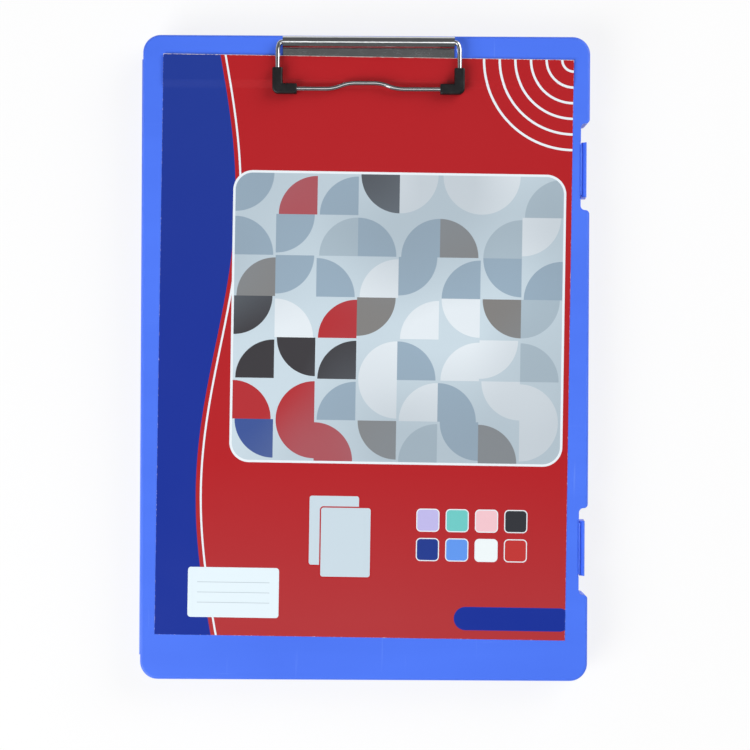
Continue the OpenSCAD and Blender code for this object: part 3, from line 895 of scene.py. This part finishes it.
@dataclass
class Latch:
    """One latch flap and the crease web that joins it to the lid."""

    flap: str
    web: str
    body: Body
    material: Material
    fold: Material
    crisp: Crisp
    leg: float = 0.3 * MM
    released_deg: float = 3.4
    steps: int = 9

    def build(self) -> None:
        """Makes the crease web: a leg on the lid, an arc about the crease and a leg on the flap."""
        low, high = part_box(self.web)
        x, y, z = joint_place(self.body)
        tilt = math.radians(self.released_deg)
        down = np.array([math.sin(tilt), -math.cos(tilt)]) * self.leg
        inside = arc((x, z), FOLD_R, 90, self.released_deg, self.steps)
        outside = arc((x, z), FOLD_R + WEB_T, self.released_deg, 90, self.steps)
        back = np.array([-self.leg, 0.0])
        section = np.concatenate([
            [inside[0] + back], inside, [inside[-1] + down],
            [outside[0] + down], outside, [outside[-1] + back],
        ])
        vertices, faces = extruded(section, high.y - low.y, WEB_BEVEL)
        vertices[:, 1] += y
        web = make_piece(self.web.replace("web", "crease"), vertices, faces, [self.fold])
        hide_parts(self.web)
        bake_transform(web)

    def dress(self) -> None:
        """Dresses the flap."""
        self.crisp.dress(self.material, self.flap)


@dataclass
class WireClip:
    """Chrome plate with its rolled tube, sprung bail, sleeves, rivets and washers."""

    chrome: Material
    zinc: Material
    black: Material
    crisp: Crisp
    axis: Triple
    clip_w: float = 87.6 * MM
    wire_r: float = 1.25 * MM
    bail_reach: float = 23.8 * MM
    wire_end_gap: float = 8 * MM
    bend_gap: float = 0.15 * MM
    tight_r: float = 2 * MM
    slow_r: float = 10 * MM
    bend_deg: float = 70
    corner_r: float = 3 * MM
    hump_w: float = 9 * MM
    hump_ramp: float = 15.6 * MM
    hump_h: float = 3 * MM
    hump_off: float = -2 * MM
    sleeve_arm_w: float = 5.3 * MM
    sleeve_bar_w: float = 5.3 * MM
    sleeve_arm_l: float = 13.3 * MM
    sleeve_bar_l: float = 12.5 * MM
    sleeve_corner_r: float = 3.2 * MM
    sleeve_inner_r: float = 0.5 * MM
    sleeve_soft: float = 0.25 * MM
    sleeve_power: float = 0.32
    bore_clear: float = 0.03 * MM
    leg_gap: float = 1.5 * MM
    fold_gap: float = 1 * MM
    tube_gap: float = 0.2 * MM
    joint_gap: float = 0.5 * MM
    slow_from: float = 0.94  # share of its angle where an arc starts, past the point before it
    ramp_from: float = 0.93
    cap_l: float = 0.3 * MM
    cap_share: float = 0.72
    press_deg: float = 12
    sides: int = 32
    sleeve_sides: int = 48
    leg_steps: int = 7
    turn_steps: int = 13
    end_steps: int = 24
    arm_steps: int = 6
    bend_steps: int = 14
    hump_steps: int = 12

    @property
    def arm(self) -> Triple:
        """Place of an arm beside the tube's middle, from its two bends.

        Returns:
            The arm's X, the Y where its slow bend ends and the X where its tight bend starts.
        """
        side = math.radians(90 - self.bend_deg)
        bend_x = self.clip_w / 2 + self.bend_gap
        arm_x = bend_x + (self.tight_r - self.slow_r) * math.cos(side) + self.slow_r
        arm_y = -self.tight_r + (self.tight_r - self.slow_r) * math.sin(side)
        return arm_x, arm_y, bend_x

    def centre_line(self) -> Array:
        """Middle line of the bail: straight ends, tight and slow bends, corners and a hump.

        Returns:
            Points (X, Y) about the tube's middle, from the right end to the left.
        """
        arm_x, arm_y, bend_x = self.arm
        side, steps = 90 - self.bend_deg, self.bend_steps
        bar_y, corner_y = -self.bail_reach, -self.bail_reach + self.corner_r
        turn = 2 * math.degrees(math.atan(self.hump_h / self.hump_ramp))
        ramp_r = self.hump_ramp / (2 * math.sin(math.radians(turn)))
        end_xs = np.linspace(self.wire_end_gap / 2, bend_x - self.tube_gap, self.end_steps)
        arm_ys = np.linspace(arm_y - self.joint_gap, corner_y + self.joint_gap, self.arm_steps)
        right = np.concatenate([
            joined(end_xs, 0),
            arc((bend_x, -self.tight_r), self.tight_r, 90, side, steps),
            arc((arm_x - self.slow_r, arm_y), self.slow_r, side * self.slow_from, 0, steps),
            joined(arm_x, arm_ys),
            arc((arm_x - self.corner_r, corner_y), self.corner_r, 0, -90, steps),
        ])
        foot = (self.hump_w / 2 + self.hump_ramp, bar_y + ramp_r)
        crest = (self.hump_w / 2, bar_y + self.hump_h - ramp_r)
        hump = np.concatenate([
            arc(foot, ramp_r, 270, 270 - turn, self.hump_steps),
            arc(crest, ramp_r, 90 - turn * self.ramp_from, 90, self.hump_steps),
        ])
        mirror, shift = np.array([-1, 1]), np.array([self.hump_off, 0])
        humps = np.concatenate([hump, (hump * mirror)[::-1]]) + shift
        return np.concatenate([right, humps, (right * mirror)[::-1]])

    def wire(self) -> Piece:
        """Makes the bail's wire: circles square to the middle line, with closed, drawn-in ends.

        Returns:
            The wire.
        """
        line = self.centre_line()
        way = unit(np.gradient(line, axis=0))
        first, last = line[:1] - way[:1] * self.cap_l, line[-1:] + way[-1:] * self.cap_l
        line = np.concatenate([first, line, last])
        way = np.concatenate([way[:1], way, way[-1:]])
        across = joined(-way[:, 1], way[:, 0])
        radius = np.full(len(line), self.wire_r)
        radius[[0, -1]] = self.wire_r * self.cap_share
        turn = np.linspace(0, 2 * math.pi, self.sides, endpoint=False)
        ring = radius[:, None, None] * joined(np.cos(turn), np.sin(turn))
        flat = line[:, None, :] + ring[..., :1] * across[:, None, :]
        points = np.concatenate([flat, ring[..., 1:]], -1).reshape(-1, 3)
        faces = tube_faces(len(line), self.sides)
        return make_piece("bail_wire", points + np.array(self.axis), faces, [self.chrome])

    def sleeve(self, side: int) -> Piece:
        """Makes one corner sleeve.

        Each ring lies between an inner line, which turns sharply, and an outer line, which turns
        on a radius. Across the leg and up, a ring is nearly a rectangle: half its size times the
        cosine and sine of its angle, each raised to a small power. The rings run along the
        outside, turn in at the end and come back along the wire.

        Args:
            side: 1 for the right sleeve and -1 for the left.

        Returns:
            The sleeve.
        """
        low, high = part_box("clip_sleeve_right")
        height = high.z - low.z
        arm_x = self.arm[0]
        out_x, in_x = arm_x + self.sleeve_arm_w / 2, arm_x - self.sleeve_arm_w / 2
        front_y = -self.bail_reach - self.sleeve_bar_w / 2
        back_y = -self.bail_reach + self.sleeve_bar_w / 2
        top_y, end_x = front_y + self.sleeve_arm_l, out_x - self.sleeve_bar_l
        legs = np.array([0, 0.25, 1.0]) * self.sleeve_soft
        arm_ys = np.linspace(top_y - self.leg_gap, back_y + self.fold_gap, self.leg_steps)
        arm_ys = np.concatenate([top_y - legs, arm_ys])
        bar_xs = np.linspace(in_x - self.fold_gap, end_x + self.leg_gap, self.leg_steps)
        bar_xs = np.concatenate([bar_xs, end_x + legs[::-1]])

        def bent(x: float, y: float, radius: float) -> Array:
            """Leads a line down the arm, round a quarter circle and along the bar.

            Args:
                x: Where it runs on the arm.
                y: Where it runs on the bar.
                radius: Radius of its turn.

            Returns:
                Points (X, Y) about the tube's middle.
            """
            return np.concatenate([
                joined(x, arm_ys),
                arc((x - radius, y + radius), radius, 0, -90, self.turn_steps),
                joined(bar_xs, y),
            ])

        outer = bent(out_x, front_y, self.sleeve_corner_r)
        inner = bent(in_x, back_y, self.sleeve_inner_r)
        bore = bent(arm_x, -self.bail_reach, self.corner_r)
        turn = np.linspace(0, 2 * math.pi, self.sleeve_sides, endpoint=False)
        share, rise = (
            np.sign(f) * np.abs(f) ** self.sleeve_power for f in (np.cos(turn), np.sin(turn))
        )
        rise = rise * height / 2
        fade = np.ones(len(outer))
        drop = self.sleeve_soft * np.array([1.0, 0.35, 0.0])
        fade[:3] = 1 - drop / (height / 2)
        fade[-3:] = fade[:3][::-1]
        middle, half = (inner + outer) / 2, (outer - inner) / 2
        skin_xy = middle[:, None] + half[:, None] * (share[None, :, None] * fade[:, None, None])
        skin = np.concatenate([skin_xy, (rise[None, :] * fade[:, None])[..., None]], -1)
        across = unit(half)
        hole_r = self.wire_r + self.bore_clear
        hole_xy = bore[:, None] + across[:, None] * (hole_r * np.cos(turn))[None, :, None]
        hole_z = np.broadcast_to((hole_r * np.sin(turn))[None, :, None], (*hole_xy.shape[:2], 1))
        hole = np.concatenate([hole_xy, hole_z], -1)[::-1]
        rings = np.concatenate([skin, hole])
        points = rings.reshape(-1, 3) * np.array([side, 1, 1])
        faces = grid_faces(len(rings), len(turn), True, True)
        faces = faces[:, ::-1] if side > 0 else faces
        name = "sleeve_right" if side > 0 else "sleeve_left"
        return make_piece(name, points + np.array(self.axis), faces.tolist(), [self.black])

    def build(self) -> None:
        """Makes the wire and the sleeves, which stand for their CAD nodes."""
        pieces = {"clip_bail": self.wire(), "clip_sleeve_right": self.sleeve(1),
                  "clip_sleeve_left": self.sleeve(-1)}
        for node, piece in pieces.items():
            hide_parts(node)
            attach(piece, Body.BAIL.value)

    def dress(self) -> None:
        """Dresses the plate, the rivets and the washers."""
        Crisp(self.press_deg).dress(self.chrome, "clip_plate")
        self.crisp.dress(self.zinc, "rivet_", "washer_")


@dataclass(frozen=True)
class CardPlace:
    """How the card lies: the middle of its top edge and its turn about Z."""

    top: Pair
    turn: float = math.radians(-0.6)

    def at(self, u: Array | float, v: Array | float) -> tuple[Array | float, Array | float]:
        """Turns card coordinates, u to the right and v up from the top edge's middle, into X and Y."""
        c, s = math.cos(self.turn), math.sin(self.turn)
        return self.top[0] + u * c - v * s, self.top[1] + u * s + v * c


@dataclass
class DisplayCard:
    """Printed card under the clip, and the white label that is stuck on it."""

    printed: Material
    board: Material
    paper: Material
    place: CardPlace
    width: float = 210 * MM
    length: float = 297 * MM
    thick: float = 0.25 * MM
    reach: float = 6.9 * MM
    rise: float = 0.8 * MM
    slope: float = 5 * MM
    bend_from: float = -24 * MM
    bend_to: float = -8 * MM
    columns: int = 43
    flat_rows: int = 50
    bend_rows: int = 49
    label_at: Pair = (-65 * MM, -275 * MM)
    label_half: Pair = (23.3 * MM, 12.8 * MM)
    label_r: float = 1.6 * MM
    label_t: float = 0.08 * MM
    label_steps: int = 9

    def height(self, y: Array, front_y: float, low_z: float) -> Array:
        """Height of the card's underside: a smooth step down in front of the clip's plate."""
        t = np.clip((y - (front_y - self.slope)) / self.slope, 0, 1)
        return low_z + self.rise * t * t * (3 - 2 * t)

    def sheet(self, front_y: float, low_z: float) -> Piece:
        """Makes the card: a grid of points on its underside, and the same raised by its thickness.

        Args:
            front_y: Where the clip's plate ends.
            low_z: Height of the lid's face.

        Returns:
            The card.
        """
        u = np.linspace(-self.width / 2, self.width / 2, self.columns)
        v = np.concatenate([
            np.linspace(-self.length, self.bend_from - 2 * MM, self.flat_rows),
            np.linspace(self.bend_from, self.bend_to, self.bend_rows),
            [-5 * MM, -2 * MM, 0],
        ])
        uu, vv = np.meshgrid(u, v, indexing="ij")
        x, y = self.place.at(uu, vv)
        under = self.height(y, front_y, low_z)
        low = joined(x, y, under)
        high = low + np.array([0, 0, self.thick])
        rows, columns = low.shape[:2]
        count = rows * columns
        quads = grid_faces(rows, columns, False, False)
        index = np.arange(count).reshape(rows, columns)
        rim = np.concatenate([index[:-1, 0], index[-1, :-1], index[:0:-1, -1], index[0, :0:-1]])
        ahead = np.roll(rim, -1)
        walls = joined(rim, ahead, ahead + count, rim + count)
        faces = np.concatenate([quads + count, quads[:, ::-1], walls])
        slots = np.concatenate([np.zeros(len(quads)), np.ones(len(quads) + len(walls))])
        points = np.concatenate([low.reshape(-1, 3), high.reshape(-1, 3)])
        return make_piece("display_card", points, faces.tolist(), [self.printed, self.board], slots,
                          smooth=False)

    def label(self, low_z: float) -> Piece:
        """Makes the label: rings of a rounded rectangle, thin at the rim, closed below.

        Args:
            low_z: Height of the card's face.

        Returns:
            The label.
        """
        half = np.array(self.label_half) - self.label_r
        corners = ((1, 1, 0), (-1, 1, 90), (-1, -1, 180), (1, -1, 270))
        outline = np.concatenate([
            arc(tuple(half * (sx, sy)), self.label_r, turn, turn + 90, self.label_steps)
            for sx, sy, turn in corners
        ])
        rings = [
            joined(*self.place.at(*(outline * share + self.label_at).T), low_z + self.label_t * rise)
            for share, rise in ((1.0, 0.0), (1.0, 0.7), (0.997, 1.0))
        ]
        faces = [face[::-1] for face in tube_faces(len(rings), len(outline))]
        return make_piece("blank_label", np.concatenate(rings), faces, [self.paper], smooth=False)

    def build(self) -> None:
        """Makes the card and its label."""
        low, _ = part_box("insert_card")
        front_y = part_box("clip_plate")[0].y
        card = self.sheet(front_y, low.z)
        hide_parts("insert_card")
        label = self.label(low.z + self.thick)
        for piece in (card, label):
            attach(piece, Body.LID.value)


# ---------------- stage


@dataclass(frozen=True)
class Lamp:
    """A rectangular lamp: its place, the floor point it faces, its size and its power in watts."""

    name: str
    place: Triple
    aim: Pair
    size: Pair
    power: float

    def hang(self) -> None:
        """Adds the lamp to the scene."""
        data = bpy.data.lights.new(self.name, "AREA")
        data.shape = "RECTANGLE"
        data.size, data.size_y = self.size
        data.energy = self.power
        lamp = bpy.data.objects.new(self.name, data)
        bpy.context.scene.collection.objects.link(lamp)
        lamp.location = self.place
        way = Vector((*self.aim, 0.0)) - lamp.location
        lamp.rotation_euler = way.to_track_quat("-Z", "Y").to_euler()


@dataclass
class Stage:
    """Camera, floor, soft light and surroundings."""

    distance: float = 0.95
    scale_px_per_m: float = 1954.0
    frame_px: float = 750.0
    origin_px: Pair = (364.1, 358.0)
    lid_top: float = 20.3 * MM
    turn_deg: float = 0.3
    sensor: float = 36.0
    floor_half: float = 3.0
    floor_colour: Rgba = srgb(244, 244, 244)
    floor_glow: float = 0.8
    sides: float = 0.4
    overhead: float = 0.15
    sides_from: Pair = (0.35, 0.9)
    lamps: tuple[Lamp, ...] = (
        Lamp("key", (-1.35, -1.1, 1.4), (0, 0), (1.5, 1.5), 45.0),
        Lamp("fill", (1.45, 1.05, 1.2), (0, 0), (1.5, 1.5), 28.0),
        Lamp("strip", (0.0, 0.03, 1.3), (0, 0.03), (0.3, 0.42), 0.75),
    )

    def camera(self) -> None:
        """Sets a camera that looks straight down on the lid."""
        data = bpy.data.cameras.new("camera")
        data.sensor_width = self.sensor
        data.lens = self.sensor * self.distance * self.scale_px_per_m / self.frame_px
        data.clip_start, data.clip_end = 0.01, 20
        camera = bpy.data.objects.new("camera", data)
        bpy.context.scene.collection.objects.link(camera)
        middle = self.frame_px / 2
        camera.location = (
            (middle - self.origin_px[0]) / self.scale_px_per_m,
            (self.origin_px[1] - middle) / self.scale_px_per_m,
            self.lid_top + self.distance,
        )
        camera.rotation_euler = (0, 0, math.radians(self.turn_deg))
        bpy.context.scene.camera = camera

    def world(self) -> None:
        """Sets surroundings: brighter at the two sides, dim overhead, white to the eye."""
        world = bpy.data.worlds.new("surroundings")
        bpy.context.scene.world = world
        world.use_nodes = True
        g = Nodes(world.node_tree)
        aside = g.math("ABSOLUTE", g.split(g.node("ShaderNodeTexCoord").outputs["Generated"])[0])
        level = g.ranged(aside, *self.sides_from, self.overhead, self.sides, "SMOOTHSTEP")
        level = g.mix(g.node("ShaderNodeLightPath").outputs["Is Camera Ray"], level, 1.0)
        shade = g.node("ShaderNodeBackground", {"Color": (1, 1, 1, 1), "Strength": level})
        g.node("ShaderNodeOutputWorld", {"Surface": shade.outputs[0]})

    def floor(self) -> None:
        """Lays a pale floor that keeps a soft share of the object's shadow."""
        half = self.floor_half
        corners = np.array([[-half, -half, 0], [half, -half, 0], [half, half, 0], [-half, half, 0]])
        g = Graph("pale_floor")
        g.set(Base_Color=self.floor_colour, Roughness=0.9)
        rays = g.node("ShaderNodeLightPath").outputs
        seen = g.math("ADD", rays["Is Camera Ray"], rays["Is Glossy Ray"], clamp=True)
        seen = g.math("ADD", seen, rays["Is Transmission Ray"], clamp=True)
        mix = g.node("ShaderNodeMixShader", {
            0: g.math("MULTIPLY", seen, self.floor_glow),
            1: g.shader.outputs["BSDF"],
            2: g.node("ShaderNodeEmission").outputs[0],
        })
        g.feed(g.output.inputs["Surface"], mix.outputs[0])
        floor = make_piece("floor", corners, [[0, 1, 2, 3]], [g.material], smooth=False)

    def build(self) -> None:
        """Sets up everything around the object."""
        bpy.context.scene.view_settings.view_transform = "Standard"
        self.camera()
        self.world()
        self.floor()
        for lamp in self.lamps:
            lamp.hang()


def main() -> None:
    """Builds the stage and every part of the object."""
    logging.basicConfig(level=logging.INFO, format="%(name)s: %(message)s")
    Stage().build()
    crisp = Crisp()
    blue = Polypropylene().make()
    fold = Polypropylene("worked_fold", srgb(96, 138, 250), srgb(84, 127, 246)).make()
    shell = Shell(blue, fold, crisp)
    latches = [
        Latch(f"latch_{end}", f"latch_web_{end}", body, blue, fold, crisp)
        for end, body in (("upper", Body.LATCH_UPPER), ("lower", Body.LATCH_LOWER))
    ]
    axis = joint_place(Body.BAIL)
    clip = WireClip(Chrome().make(), ZINC.make(), BLACK.make(), crisp, axis)
    place = CardPlace((axis[0], axis[1] - DisplayCard.reach))
    low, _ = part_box("insert_card")
    middle = place.at(0.0, -DisplayCard.length / 2)
    label = place.at(*DisplayCard.label_at)
    printed = CardPrint(Pattern("card_print", (*middle, low.z), place.turn)).make()
    paper = LabelPaper(Pattern("label_paper", (*label, low.z), place.turn)).make()
    card = DisplayCard(printed, BOARD.make(), paper, place)
    for part in (shell, *latches, clip):
        part.build()
        part.dress()
    card.build()


if __name__ == "__main__":
    main()
